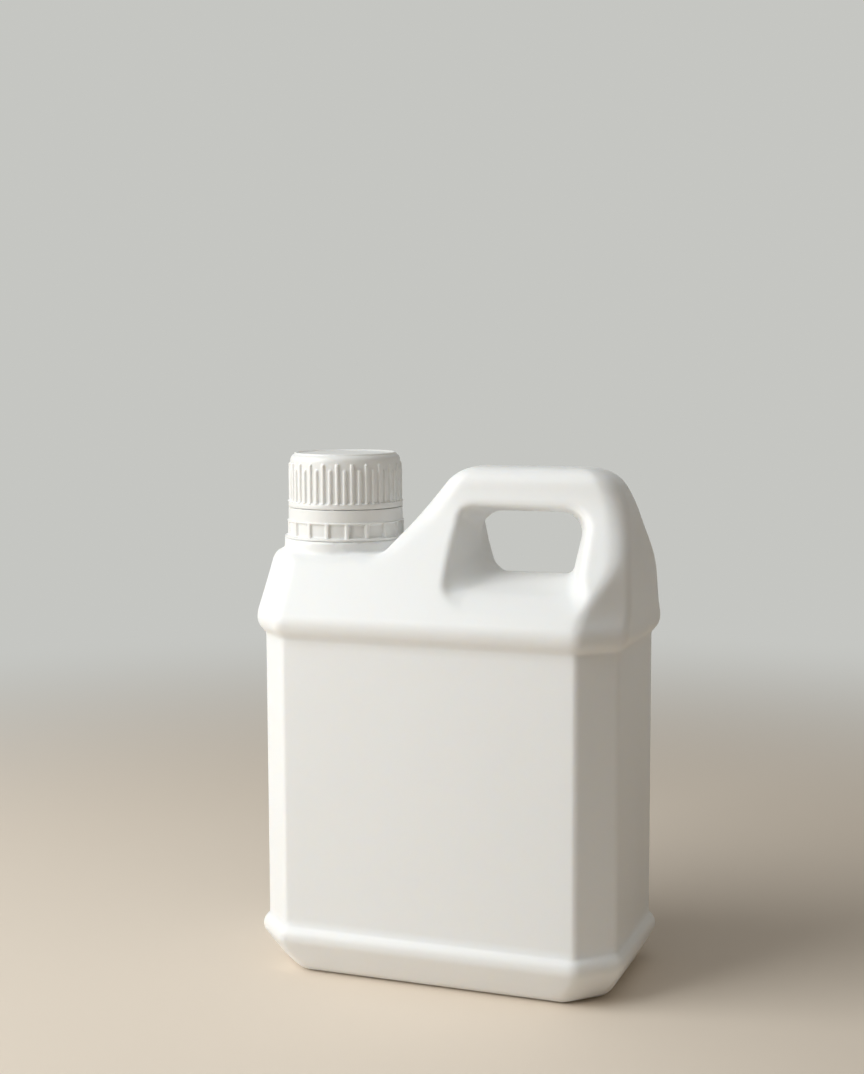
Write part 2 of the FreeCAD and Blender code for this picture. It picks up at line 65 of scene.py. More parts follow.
def make_piece(name, points, quads, body, node):
    """A smooth mesh object from points in millimetres, riding on a body and replacing a node.

    The volume inside the skin, printed as a check, is the sum of the tetrahedra that the origin
    makes with the two halves of every face. It is below zero where the faces are inside out.
    """
    mesh = bpy.data.meshes.new(name)
    mesh.vertices.add(len(points))
    mesh.vertices.foreach_set("co", (np.asarray(points) * MM).astype(np.float32).ravel())
    mesh.loops.add(quads.size)
    mesh.loops.foreach_set("vertex_index", quads.astype(np.int32).ravel())
    mesh.polygons.add(len(quads))
    mesh.polygons.foreach_set("loop_start", (np.arange(len(quads)) * 4).astype(np.int32))
    mesh.update(calc_edges=True)
    mesh.validate()
    mesh.polygons.foreach_set("use_smooth", np.ones(len(mesh.polygons), dtype=bool))
    piece = bpy.data.objects.new(name, mesh)
    bpy.context.collection.objects.link(piece)
    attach(piece, body)
    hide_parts(node)
    one, two, three, four = (np.asarray(points)[quads[:, k]] for k in range(4))
    cubic = ((np.cross(two, three) * one).sum() + (np.cross(three, four) * one).sum()) / 6000
    print("%-14s %6d points %6d faces, %8.2f cm3 inside its skin" % (
        name, len(points), len(quads), cubic))
    return piece


# %% [markdown]
# ## The can as a field
#
# The can has a pocket through its handle, so no single grid of two parameters covers it. A field
# does: a function of x, y and z that is below zero inside the plastic's outer skin and above zero
# outside, measured in millimetres. A flat face gives a plain field, its distance. Two faces that
# meet are joined by a maximum, and a maximum that is rounded off gives the edge its radius, which
# is how a blown can gets edges that have no hard line anywhere.

# %% Rounded joins


def meet(a, b, soft):
    """The room inside both fields, with the edge between them rounded over a distance soft."""
    reach = np.hypot(np.maximum(a + soft, 0), np.maximum(b + soft, 0))
    return np.minimum(np.maximum(a, b), -soft) + reach


def add(a, b, soft):
    """The room inside either field, with the corner between them filled over a distance soft."""
    return -meet(-a, -b, soft)


def smooth_step(value, start, end):
    """Goes from 0 at the start to 1 at the end without a kink."""
    share = np.clip((value - start) / (end - start), 0, 1)
    return share * share * (3 - 2 * share)


# %% [markdown]
# Every size below is in millimetres. The upright profile of the can says, for each height, how far
# out its front, its ends and its cut corners lie.

# %% Profile of the panel and its two beads
HALF_LENGTH = 63.0
HALF_DEPTH = 34.25
PANEL_CUT, PANEL_CORNER = 11.4, 2.5
PANEL_BOTTOM, PANEL_TOP = 17.4, 117.1
DIAGONAL = 2 - math.sqrt(2)

FOOT_SLOPE = math.radians(29.0)
BEAD_OUT, BEAD_RADIUS = 2.3, 4.3
BEAD_CENTRE = BEAD_OUT - BEAD_RADIUS
BEAD_HEIGHT = PANEL_BOTTOM - math.sqrt(BEAD_RADIUS ** 2 - BEAD_CENTRE ** 2)
BEAD_START = BEAD_HEIGHT - BEAD_RADIUS * math.sin(FOOT_SLOPE)
BEAD_START_OUT = BEAD_CENTRE + BEAD_RADIUS * math.cos(FOOT_SLOPE)

SHOULDER_OUT, SHOULDER_RADIUS = 3.0, 6.0
SHOULDER_SLOPE = math.radians(49.1)
NOSE_OUT = SHOULDER_OUT - SHOULDER_RADIUS
NOSE_HEIGHT = (PANEL_TOP + SHOULDER_RADIUS / math.cos(SHOULDER_SLOPE)
               + NOSE_OUT * math.tan(SHOULDER_SLOPE))
NOSE_START = NOSE_HEIGHT - SHOULDER_RADIUS * math.cos(SHOULDER_SLOPE)


def arc(radius, rise):
    """How far a circle of this radius reaches out at a rise above its middle."""
    return np.sqrt(np.maximum(radius ** 2 - rise ** 2, 0))


def bead_profile(z):
    """How far the can stands outside its panel, from the floor up to the shoulder bead's nose."""
    return np.select(
        [z < BEAD_START, z < PANEL_BOTTOM, z < PANEL_TOP, z < NOSE_START],
        [BEAD_START_OUT + (z - BEAD_START) * math.tan(FOOT_SLOPE),
         BEAD_CENTRE + arc(BEAD_RADIUS, z - BEAD_HEIGHT),
         0 * z,
         (z - PANEL_TOP) / math.tan(SHOULDER_SLOPE)],
        NOSE_OUT + arc(SHOULDER_RADIUS, np.minimum(z - NOSE_HEIGHT, 0)))


# %% Profile of the shoulder and the handle
FLAT_HEIGHT, HANDLE_HEIGHT = 145.5, 175.0
SHOULDER_LEAN = math.radians(35.7)
HANDLE_HALF_DEPTH, HANDLE_BLEND = 10.2, 30.0
PLANE_DEPTH = HALF_DEPTH + NOSE_OUT + SHOULDER_RADIUS * math.cos(SHOULDER_LEAN)
PLANE_START = NOSE_HEIGHT + SHOULDER_RADIUS * math.sin(SHOULDER_LEAN)
PLANE_END_DEPTH = HANDLE_HALF_DEPTH + HANDLE_BLEND * (1 - math.cos(SHOULDER_LEAN))
PLANE_END = PLANE_START + (PLANE_DEPTH - PLANE_END_DEPTH) / math.tan(SHOULDER_LEAN)
BLEND_END = PLANE_END + HANDLE_BLEND * math.sin(SHOULDER_LEAN)
WIDEST = HALF_LENGTH + SHOULDER_OUT
END_START, END_CURVE = 129.5, 126.0
END_TOP_START, END_TOP_CURVE = 160.0, 33.0
LEFT_LEAN = math.radians(2.5)
FADE_START, FADE_END = 126.0, 147.5
ROUND_CORNER = 6.2


def front_reach(z):
    """Distance from the middle to the front face: nose, leaning plane, hollow arc, upright."""
    below = HALF_DEPTH + bead_profile(z)
    return np.select(
        [z < NOSE_HEIGHT, z < PLANE_START, z < PLANE_END],
        [below,
         HALF_DEPTH + NOSE_OUT + arc(SHOULDER_RADIUS, z - NOSE_HEIGHT),
         PLANE_DEPTH - (z - PLANE_START) * math.tan(SHOULDER_LEAN)],
        HANDLE_HALF_DEPTH + HANDLE_BLEND - arc(HANDLE_BLEND, np.maximum(BLEND_END - z, 0)))


def right_reach(z):
    """Distance from the middle to the handle's end: upright, then a long arc and a short one."""
    lean = math.asin((END_TOP_START - END_START) / END_CURVE)
    top_middle = WIDEST - END_CURVE + (END_CURVE - END_TOP_CURVE) * math.cos(lean)
    top_rise = z - END_TOP_START + END_TOP_CURVE * math.sin(lean)
    return np.select(
        [z < NOSE_HEIGHT, z < END_START, z < END_TOP_START],
        [HALF_LENGTH + bead_profile(z), WIDEST + 0 * z,
         WIDEST - END_CURVE + arc(END_CURVE, z - END_START)],
        top_middle + arc(END_TOP_CURVE, top_rise))


def left_reach(z):
    """Distance from the middle to the end beside the neck, which leans in a little."""
    return np.where(z < NOSE_HEIGHT, HALF_LENGTH + bead_profile(z),
                    WIDEST - (z - NOSE_HEIGHT) * math.tan(LEFT_LEAN))


FOOT_CUT, FOOT_TOP = 2.5, 1.3
FOOT_ROUND, FOOT_ROUND_END = 5.0, 9.0
SHOULDER_CUT = PANEL_CUT + SHOULDER_OUT * DIAGONAL
ROUND_CUT_SHARE = 1.2
ROUND_CUT = ROUND_CUT_SHARE * ROUND_CORNER * DIAGONAL


def fade(z):
    """Goes from 0 to 1 where the cut corners at the handle's end turn into round ones."""
    return (1 - np.cos(math.pi * np.clip((z - FADE_START) / (FADE_END - FADE_START), 0, 1))) / 2


def low_cut(z):
    """How much of each corner is cut off below the shoulder; the foot loses a little more."""
    extra = FOOT_CUT * np.clip((BEAD_START - z) / (BEAD_START - FOOT_TOP), 0, 1)
    return PANEL_CUT + bead_profile(z) * DIAGONAL + extra


def right_cut_reach(z):
    """Distance from the middle to the cut corners at the handle's end."""
    high_cut = SHOULDER_CUT + (ROUND_CUT - SHOULDER_CUT) * fade(z)
    cut = np.where(z < NOSE_HEIGHT, low_cut(z), high_cut)
    return (right_reach(z) + front_reach(z) - cut) / math.sqrt(2)


def left_cut_reach(z):
    """Distance from the middle to the cut corners beside the neck."""
    share = np.clip((z - NOSE_HEIGHT) / (HANDLE_HEIGHT - NOSE_HEIGHT), 0, 1)
    high_cut = SHOULDER_CUT + (ROUND_CUT - SHOULDER_CUT) * share ** 2
    cut = np.where(z < NOSE_HEIGHT, low_cut(z), high_cut)
    return (left_reach(z) + front_reach(z) - cut) / math.sqrt(2)


def corner_radius(z):
    """Radius of the upright corners: tight on the panel, wider on the foot, beads and handle."""
    ring = PANEL_CORNER + np.where(z < NOSE_HEIGHT, np.maximum(bead_profile(z), 0), SHOULDER_OUT)
    at_foot = FOOT_ROUND * (1 - smooth_step(z, 0.0, FOOT_ROUND_END))
    return ring + at_foot + (ROUND_CORNER - PANEL_CORNER - SHOULDER_OUT) * fade(z)


print("nose of the shoulder bead at %.1f mm, front plane from %.1f to %.1f mm" % (
    NOSE_HEIGHT, PLANE_START, PLANE_END))

# %% [markdown]
# The sides are five pairs of leaning faces. A face's distance is how far a point lies outside it on
# the level, made shorter by how much the face leans. The roofline seen from the front is the flat
# under the neck, the slope up to the handle and the handle's top.

# %% Sides, roofline and foot


def face(level, reach, z):
    """Distance to a leaning face, from the level distance and the reach at each height."""
    step = 0.05
    lean = (reach(z + step) - reach(z - step)) / (2 * step)
    return (level - reach(z)) / np.sqrt(1 + lean ** 2)


def sides(x, y, z):
    """The can's upright sides: front, back, two ends and four cut corners, with rounded edges."""
    out = np.abs(y)
    soft = corner_radius(z) * (1 - math.cos(math.pi / 4))
    front = face(out, front_reach, z)
    whole = meet(front, face((x + out) / math.sqrt(2), right_cut_reach, z), soft)
    whole = meet(whole, face(x, right_reach, z), soft)
    whole = meet(whole, face((out - x) / math.sqrt(2), left_cut_reach, z), soft)
    return meet(whole, face(-x, left_reach, z), soft)


SLOPE_FOOT, SLOPE_FOOT_FILL = -20.9, 2.0
SLOPE_ANGLE = math.radians(52.2)
HANDLE_CORNER = 5.4
FLAT_EDGE, SLOPE_EDGE, HANDLE_EDGE = 3.6, 7.6, 6.0
TO_SLOPE_X, TO_HANDLE_Z = (-22.0, 0.0), (150.0, 166.0)
PUSH_UP, RIM_START, RIM_END = 0.9, 4.5, 8.5


def roofline(x, z):
    """The flat, the slope and the handle's top, with a round top corner and a softened foot."""
    slope = ((z - FLAT_HEIGHT) * math.cos(SLOPE_ANGLE) - (x - SLOPE_FOOT) * math.sin(SLOPE_ANGLE))
    handle = meet(slope, z - HANDLE_HEIGHT, HANDLE_CORNER)
    return add(z - FLAT_HEIGHT + 0 * x, handle, SLOPE_FOOT_FILL)


def edge_softness(x, z):
    """How soft the edge between sides and roofline is: least on the flat, most on the slope."""
    on_slope = smooth_step(x, *TO_SLOPE_X)
    on_handle = smooth_step(z, *TO_HANDLE_Z)
    above_flat = SLOPE_EDGE + (HANDLE_EDGE - SLOPE_EDGE) * on_handle
    return FLAT_EDGE + (above_flat - FLAT_EDGE) * on_slope


def foot(x, y, z):
    """The floor of the can, pushed up a little inside the rim that it stands on."""
    just_above = 3.0 + 0 * z
    inside = -sides(x, y, just_above)
    return PUSH_UP * smooth_step(inside, RIM_START, RIM_END) - z


# %% [markdown]
# The finger pocket is a flared hole: narrowest at the middle plane, where the two halves of the
# mould met, and wider towards the front and the back. Its floor runs out softly into the shoulder.

# %% Finger pocket and collar
HOLE_LEFT, HOLE_BOTTOM, HOLE_TOP = 8.4, 139.2, 159.8
HOLE_RIGHT_BOTTOM, HOLE_RIGHT_TOP = 40.9, 45.8
HOLE_MIDDLE_X, HOLE_MIDDLE_Z = 24.0, 149.6
PINCH_ROUND = 0.35
RIGHT_FLARE, TOP_FLARE, BOTTOM_FLARE = 0.35, 0.20, 0.17
FLARE_START, FLARE_RISE, FLARE_MOST = 118.0, 0.0066, 0.34
LEFT_CORNER, TOP_RIGHT_CORNER, LOW_RIGHT_CORNER = 8.0, 8.5, 2.2
TOP_LEFT_RIM_CORNER, LOW_LEFT_RIM_CORNER = 4.5, 3.0
TO_TOP_RIM_Y, TO_LOW_RIM_Y = (4.0, 12.0), (20.0, 29.0)
LEFT_LIP, LIP, FLOOR_LIP = 1.5, 2.2, 5.0
FROM_LEFT_LIP_X, FROM_FLOOR_LIP_Z = (5.0, 13.0), (134.0, 142.0)
NECK_X = -42.2
COLLAR_RADIUS, COLLAR_TOP, COLLAR_DEPTH = 21.5, 149.3, 8.0
FOOT_EDGE, COLLAR_EDGE, COLLAR_JOIN = 2.8, 0.4, 1.0


def pocket(x, y, z):
    """The room inside the flared finger hole, with its four corners rounded.

    Each wall's distance is the level or upright distance to it, less its flare times the way out
    from the middle plane, made shorter by how much the wall leans. The left wall flares more the
    higher it is, and its two corners get tighter towards the rim.
    """
    out = np.hypot(y, PINCH_ROUND)
    lean = (HOLE_RIGHT_TOP - HOLE_RIGHT_BOTTOM) / (HOLE_TOP - HOLE_BOTTOM)
    flare = np.clip(FLARE_RISE * (z - FLARE_START), 0, FLARE_MOST)
    left = (HOLE_LEFT - flare * out - x) / np.sqrt(1 + flare ** 2)
    right = ((x - HOLE_RIGHT_BOTTOM - lean * (z - HOLE_BOTTOM) - RIGHT_FLARE * out)
             / math.sqrt(1 + lean ** 2 + RIGHT_FLARE ** 2))
    top = (z - HOLE_TOP - TOP_FLARE * out) / math.hypot(1, TOP_FLARE)
    bottom = (HOLE_BOTTOM - BOTTOM_FLARE * out - z) / math.hypot(1, BOTTOM_FLARE)
    top_left = LEFT_CORNER + (TOP_LEFT_RIM_CORNER - LEFT_CORNER) * smooth_step(out, *TO_TOP_RIM_Y)
    low_left = LEFT_CORNER + (LOW_LEFT_RIM_CORNER - LEFT_CORNER) * smooth_step(out, *TO_LOW_RIM_Y)
    upper = z > HOLE_MIDDLE_Z
    soft = np.where(x < HOLE_MIDDLE_X, np.where(upper, top_left, low_left),
                    np.where(upper, TOP_RIGHT_CORNER, LOW_RIGHT_CORNER))
    return meet(np.maximum(left, right), np.maximum(top, bottom), soft)


def pocket_lip(x, z):
    """How soft the pocket's rim is: crisp along its left wall, wide where its floor runs out."""
    lip = FLOOR_LIP + (LIP - FLOOR_LIP) * smooth_step(z, *FROM_FLOOR_LIP_Z)
    return LEFT_LIP + (lip - LEFT_LIP) * smooth_step(x, *FROM_LEFT_LIP_X)


def can_field(x, y, z):
    """The whole can up to its neck's collar."""
    whole = meet(sides(x, y, z), roofline(x, z), edge_softness(x, z))
    whole = meet(whole, foot(x, y, z), FOOT_EDGE)
    whole = meet(whole, -pocket(x, y, z), pocket_lip(x, z))
    from_axis = np.hypot(x - NECK_X, y)
    collar = meet(from_axis - COLLAR_RADIUS, z - COLLAR_TOP, COLLAR_EDGE)
    collar = np.maximum(collar, COLLAR_TOP - COLLAR_DEPTH - z)
    return add(whole, collar, COLLAR_JOIN)


# %% [markdown]
# ## Skin of the can
#
# The field is measured on a grid of boxes, fine where the can curves and coarse up the straight
# panel. Each box that the skin passes through gets one point, and each grid line that crosses the
# skin gets one face between the four boxes round it: this is the method called surface nets. The
# points are then slid along the field's slope until they lie on the skin itself.

# %% Surface nets


def crossings(values, axis):
    """Which grid lines along an axis cross zero, and how far along they cross it."""
    near = np.take(values, range(values.shape[axis] - 1), axis=axis)
    far = np.take(values, range(1, values.shape[axis]), axis=axis)
    crosses = (near < 0) != (far < 0)
    share = np.where(crosses, near / np.where(crosses, near - far, 1), 0)
    return crosses, share


def surface_net(field, lines):
    """Points and outward quads of the field's zero surface on a grid of x, y and z lines."""
    x, y, z = np.meshgrid(*lines, indexing="ij", sparse=True)
    values = field(x, y, z) + 0 * (x + y + z)
    cells = [len(line) - 1 for line in lines]
    total = np.zeros(cells + [3])
    count = np.zeros(cells)
    for axis in range(3):
        crosses, share = crossings(values, axis)
        others = [k for k in range(3) if k != axis]
        start = lines[axis][:-1]
        width = np.diff(lines[axis])
        shape = [1, 1, 1]
        shape[axis] = -1
        place = start.reshape(shape) + share * width.reshape(shape)
        for first in (0, 1):
            for second in (0, 1):
                cut = [slice(None)] * 3
                cut[others[0]] = slice(first, first + cells[others[0]])
                cut[others[1]] = slice(second, second + cells[others[1]])
                cut = tuple(cut)
                here = crosses[cut]
                count += here
                total[..., axis] += np.where(here, place[cut], 0)
                for other, shift in ((others[0], first), (others[1], second)):
                    spread = [1, 1, 1]
                    spread[other] = -1
                    along = lines[other][shift:shift + cells[other]].reshape(spread)
                    total[..., other] += np.where(here, along, 0)
    used = count > 0
    index = np.full(cells, -1)
    index[used] = np.arange(used.sum())
    points = total[used] / count[used][:, None]
    quads = []
    for axis in range(3):
        crosses, _ = crossings(values, axis)
        others = [(axis + 1) % 3, (axis + 2) % 3]
        inner = [slice(None)] * 3
        inner[others[0]] = slice(1, -1)
        inner[others[1]] = slice(1, -1)
        at = np.argwhere(crosses[tuple(inner)])
        at[:, others] += 1
        near = values[tuple(at.T)]
        corners = []
        for first, second in ((1, 1), (0, 1), (0, 0), (1, 0)):
            cell = at.copy()
            cell[:, others[0]] -= first
            cell[:, others[1]] -= second
            corners.append(index[tuple(cell.T)])
        quad = np.stack(corners, axis=1)
        outwards = near < 0
        quad = np.where(outwards[:, None], quad, quad[:, ::-1])
        quads.append(quad)
    return points, np.concatenate(quads)


def slope_of(field, points, step=0.02):
    """The field's slope at each point, from its values a small step to either side."""
    slope = np.empty_like(points)
    for axis in range(3):
        move = np.zeros(3)
        move[axis] = step
        ahead, behind = points + move, points - move
        slope[:, axis] = (field(*ahead.T) - field(*behind.T)) / (2 * step)
    return slope


def settle(field, points, rounds=4, most=0.5):
    """Slides the points along the slope until the field is zero there."""
    for _ in range(rounds):
        slope = slope_of(field, points)
        steep = np.maximum((slope ** 2).sum(axis=1), 0.05)
        move = -slope * (field(*points.T) / steep)[:, None]
        far = np.linalg.norm(move, axis=1, keepdims=True)
        points = points + move * np.minimum(1, most / np.maximum(far, 1e-9))
    return points


# %% Grid lines and the skin


def spaced(stops):
    """Grid lines through stops of (place, gap to use from there on)."""
    lines = []
    for (start, gap), (end, _) in zip(stops[:-1], stops[1:]):
        steps = max(round((end - start) / gap), 1)
        lines.append(np.linspace(start, end, steps, endpoint=False))
    return np.concatenate(lines + [[stops[-1][0]]])


level_gap = 1.1
fine_gap, panel_gap = 0.9 * level_gap, 4.0
grid_lines = [
    spaced([(-68.1, level_gap), (68.2, 0)]),
    spaced([(-38.6, level_gap), (38.6, 0)]),
    spaced([(-1.2, fine_gap), (18.0, panel_gap), (116.0, fine_gap), (150.6, level_gap),
            (177.3, 0)]),
]
skin_points, skin_quads = surface_net(can_field, grid_lines)
skin_points = settle(can_field, skin_points)
print("furthest point from the skin: %.3f mm" % np.abs(can_field(*skin_points.T)).max())

# %% [markdown]
# The mouth of the can opens under the neck. The faces inside the neck's wall are left out there,
# and the Solidify modifier gives the open skin its wall and closes the rim, which the screw neck
# then covers. A blown wall is about a millimetre thick.

# %% Wall of the can
WALL = 1.0
NECK_RADIUS, NECK_BORE, NECK_TOP = 16.6, 14.8, 176.5

from_neck = np.hypot(skin_points[:, 0] - NECK_X, skin_points[:, 1])
in_mouth = (from_neck < (NECK_RADIUS + NECK_BORE) / 2) & (skin_points[:, 2] > COLLAR_TOP - 1)
open_quads = skin_quads[~in_mouth[skin_quads].any(axis=1)]
kept = np.unique(open_quads)
renumber = np.full(len(skin_points), -1)
renumber[kept] = np.arange(len(kept))
can_wall = make_piece("can_wall", skin_points[kept], renumber[open_quads],
                      "bottle", "bottle")
thicken = can_wall.modifiers.new("wall", "SOLIDIFY")
thicken.thickness = WALL * MM
thicken.offset = -1

# %% [markdown]
# ## Screw neck
#
# The neck is turned: a profile of radius and height is carried round its axis. The thread is a
# ridge whose height above the neck depends on the turn and on the height together, so one grid of
# turn by profile holds both. The ridge rises by one pitch a turn and runs out softly at both ends.

# %% Turned surfaces with a thread
PITCH = 5.0
RIDGE_HALF_WIDTH, RIDGE_FLANK, RUN_OUT = 1.25, 0.75, 1.6
BEND_POINTS = 6


def carried_round(profile, angle, relief):
    """A profile of (radius, height) at each turn round the neck's axis, with relief added."""
    radius = np.repeat(profile[None, :, 0], len(angle), axis=0)
    height = np.repeat(profile[None, :, 1], len(angle), axis=0)
    radius = radius + relief(angle, radius, height)
    return np.stack([NECK_X + radius * np.cos(angle), radius * np.sin(angle), height], axis=2)


def turned(profile, turns, relief):
    """Points and quads of a closed profile that is carried round the neck's axis."""
    angle = np.linspace(0, 2 * math.pi, turns, endpoint=False)[:, None]
    points = carried_round(profile, angle, relief)
    rows = len(profile)
    first = np.arange(turns)[:, None] * rows + np.arange(rows)[None, :]
    beside = np.roll(first, -1, axis=0)
    quads = np.stack([first, beside, np.roll(beside, -1, axis=1), np.roll(first, -1, axis=1)],
                     axis=2)
    return points.reshape(-1, 3), quads.reshape(-1, 4)


def soft_path(corners, gap):
    """A closed profile through (radius, height, corner reach) spots, evenly filled with points.

    At each spot a curve leaves the one side and joins the other: its points are a weighted mean of
    the curve's start, the spot and its end, with the weights of a quadratic Bezier curve.
    """
    spots = np.array([corner[:2] for corner in corners], dtype=float)
    path = []
    for index, (_, _, bend) in enumerate(corners):
        here = spots[index]
        back = spots[index - 1] - here
        ahead = spots[(index + 1) % len(spots)] - here
        back_unit, ahead_unit = back / np.linalg.norm(back), ahead / np.linalg.norm(ahead)
        half = math.acos(float(np.clip(back_unit @ ahead_unit, -1, 1))) / 2
        reach = bend / math.tan(half)
        start, end = here + back_unit * reach, here + ahead_unit * reach
        share = np.linspace(0, 1, BEND_POINTS)[:, None]
        path.append((1 - share) ** 2 * start + 2 * share * (1 - share) * here + share ** 2 * end)
    path = np.concatenate(path)
    after = np.roll(path, -1, axis=0)
    filled = []
    for start, end in zip(path, after):
        steps = max(int(np.linalg.norm(end - start) / gap), 1)
        filled.append(start + (end - start) * np.linspace(0, 1, steps, endpoint=False)[:, None])
    return np.concatenate(filled)


def ridge(angle, height, low, high, offset):
    """A round ridge of unit height that winds up between two heights by one pitch a turn."""
    phase = (height - offset) / PITCH - angle / (2 * math.pi)
    beside = np.abs(phase - np.round(phase)) * PITCH
    wound = np.clip(1 - beside / RIDGE_HALF_WIDTH, 0, 1)
    shape = smooth_step(wound, 0, RIDGE_FLANK)
    start = offset + PITCH * angle / (2 * math.pi) + PITCH * np.round(phase)
    starts = smooth_step(start, low, low + RUN_OUT)
    return shape * starts * (1 - smooth_step(start, high - RUN_OUT, high))


NECK_BEAD, NECK_BEAD_BOTTOM, NECK_BEAD_TOP = 18.1, 152.8, 154.8
NECK_ROOT = 144.2
NECK_THREAD_OUT, CAP_THREAD_IN = 1.15, 0.9
NECK_THREAD_BOTTOM, NECK_THREAD_TOP = 158.0, 175.4
THREAD_OFFSET = 158.6


def neck_thread(angle, radius, height):
    """The thread's ridge on the neck's outside."""
    outside = smooth_step(radius, NECK_RADIUS - 0.2, NECK_RADIUS - 0.1)
    wound = ridge(angle, height, NECK_THREAD_BOTTOM, NECK_THREAD_TOP, THREAD_OFFSET)
    return NECK_THREAD_OUT * outside * wound


neck_profile = soft_path([
    (NECK_BORE, NECK_ROOT, 0.1), (NECK_RADIUS, NECK_ROOT, 0.1),
    (NECK_RADIUS, NECK_BEAD_BOTTOM - 0.2, 0.3), (NECK_BEAD, NECK_BEAD_BOTTOM, 0.4),
    (NECK_BEAD, NECK_BEAD_TOP - 0.6, 0.5), (NECK_RADIUS, NECK_BEAD_TOP, 0.5),
    (NECK_RADIUS, NECK_TOP, 0.5), (NECK_BORE, NECK_TOP, 0.5),
], 0.4)
neck_points, neck_quads = turned(neck_profile, 220, neck_thread)
screw_neck = make_piece("screw_neck", neck_points, neck_quads, "bottle",
                        "bottle")

# %% [markdown]
# ## Tamper-evident ring
#
# The ring is turned too. Its lower band has shallow windows with narrow bars between them, its
# hook reaches in under the neck's bead, and small bridges on its top edge once held it to the cap.

# %% Tamper ring
WINDOW_COUNT, WINDOW_TURN = 18, math.radians(4.9)
WINDOW_DEPTH, WINDOW_BAR = 0.8, 0.5
BRIDGE_COUNT, BRIDGE_HEIGHT = 9, 0.15
TORN_BOTTOM, TORN_TOP = 149.32, 159.85
TORN_BORE, TORN_FOOT, WINDOW_BAND, PLAIN_BAND = 18.5, 21.38, 20.6, 20.1
HOOK_RADIUS, HOOK_BOTTOM, HOOK_TIP, HOOK_TOP = 17.95, 151.3, 152.45, 152.5
WINDOW_BOTTOM, WINDOW_TOP = 150.0, 155.35


def around(angle, count, turn, radius):
    """Distance along the circle to the nearest of so many evenly spaced marks."""
    part = (angle - turn) * count / (2 * math.pi)
    return np.abs(part - np.round(part)) * 2 * math.pi * radius / count


def window_relief(angle, radius, height):
    """How far the windows are set into the ring's lower band."""
    half_turn = math.pi / WINDOW_COUNT
    beside_bar = around(angle, WINDOW_COUNT, WINDOW_TURN + half_turn, WINDOW_BAND)
    open_part = smooth_step(beside_bar, WINDOW_BAR, WINDOW_BAR + 0.45)
    above = smooth_step(height, WINDOW_BOTTOM, WINDOW_BOTTOM + 0.4)
    band = above * (1 - smooth_step(height, WINDOW_TOP - 0.6, WINDOW_TOP - 0.1))
    return -WINDOW_DEPTH * open_part * band * (radius > PLAIN_BAND - 0.1)


ring_profile = soft_path([
    (TORN_BORE, TORN_BOTTOM, 0.1), (TORN_FOOT, TORN_BOTTOM, 0.1),
    (TORN_FOOT, WINDOW_BOTTOM, 0.2), (WINDOW_BAND, WINDOW_BOTTOM + 0.05, 0.05),
    (WINDOW_BAND, WINDOW_TOP, 0.2), (PLAIN_BAND, WINDOW_TOP + 0.2, 0.12),
    (PLAIN_BAND, TORN_TOP, 0.25), (TORN_BORE, TORN_TOP, 0.2),
    (TORN_BORE, HOOK_TOP, 0.1), (HOOK_RADIUS, HOOK_TIP, 0.1), (TORN_BORE, HOOK_BOTTOM, 0.1),
], 0.35)
ring_points, ring_quads = turned(ring_profile, 540, window_relief)
ring_angle = np.arctan2(ring_points[:, 1], ring_points[:, 0] - NECK_X)
beside_bridge = around(ring_angle, BRIDGE_COUNT, 0.0, (TORN_BORE + PLAIN_BAND) / 2)
on_top = smooth_step(ring_points[:, 2], TORN_TOP - 0.1, TORN_TOP)
ring_points[:, 2] += BRIDGE_HEIGHT * on_top * (1 - smooth_step(beside_bridge, 0.35, 0.7))
tamper_ring = make_piece("torn_ring", ring_points, ring_quads, "bottle",
                         "tamper_ring")

# %% [markdown]
# ## Screw cap
#
# The cap's profile runs from the middle of its dished top, over the rounded edge, down the ribbed
# wall, round the bottom rim and up the inside to the middle of its roof. Ribs for the fingers
# stand round the wall, a long one and a short one in turn, and the same winding ridge as on the
# neck, half a pitch further on, makes the inner thread. The points at both middles are welded.

# %% Cap
RIB_COUNT = 24
RIB_OUT = 0.65
CAP_RADIUS, CAP_BORE = 19.3, 18.1
CAP_BOTTOM, CAP_TOP, CAP_ROOF = 160.05, 179.0, 177.5
LONG_RIB_TOP, SHORT_RIB_TOP = 175.9, 173.9
RIB_BOTTOM, RIB_RUN_OUT = 161.9, 0.9
RIB_CREST, RIB_ROOT = 0.28, 0.72
CAP_THREAD_BOTTOM, CAP_THREAD_TOP = 162.2, 175.6
DISH_DEPTH = 0.5
EDGE_WIDTH, EDGE_DROP, EDGE_BOTTOM = 2.0, 2.42, 176.1


def cap_relief(angle, radius, height):
    """The ribs outside, long and short in turn, and the thread inside."""
    wall = (radius > CAP_RADIUS - 0.5) & (height > RIB_BOTTOM)
    ribs = 0
    for turn, top in ((0.0, LONG_RIB_TOP), (math.pi / RIB_COUNT, SHORT_RIB_TOP)):
        beside = around(angle, RIB_COUNT, turn, CAP_RADIUS)
        rib = 1 - smooth_step(beside, RIB_CREST, RIB_ROOT)
        ribs = ribs + rib * (1 - smooth_step(height, top - RIB_RUN_OUT, top))
    inside = (np.abs(radius - CAP_BORE) < 0.05) & (height < CAP_ROOF - 0.3)
    thread = ridge(angle, height, CAP_THREAD_BOTTOM, CAP_THREAD_TOP, THREAD_OFFSET + PITCH / 2)
    return RIB_OUT * wall * ribs - CAP_THREAD_IN * inside * thread


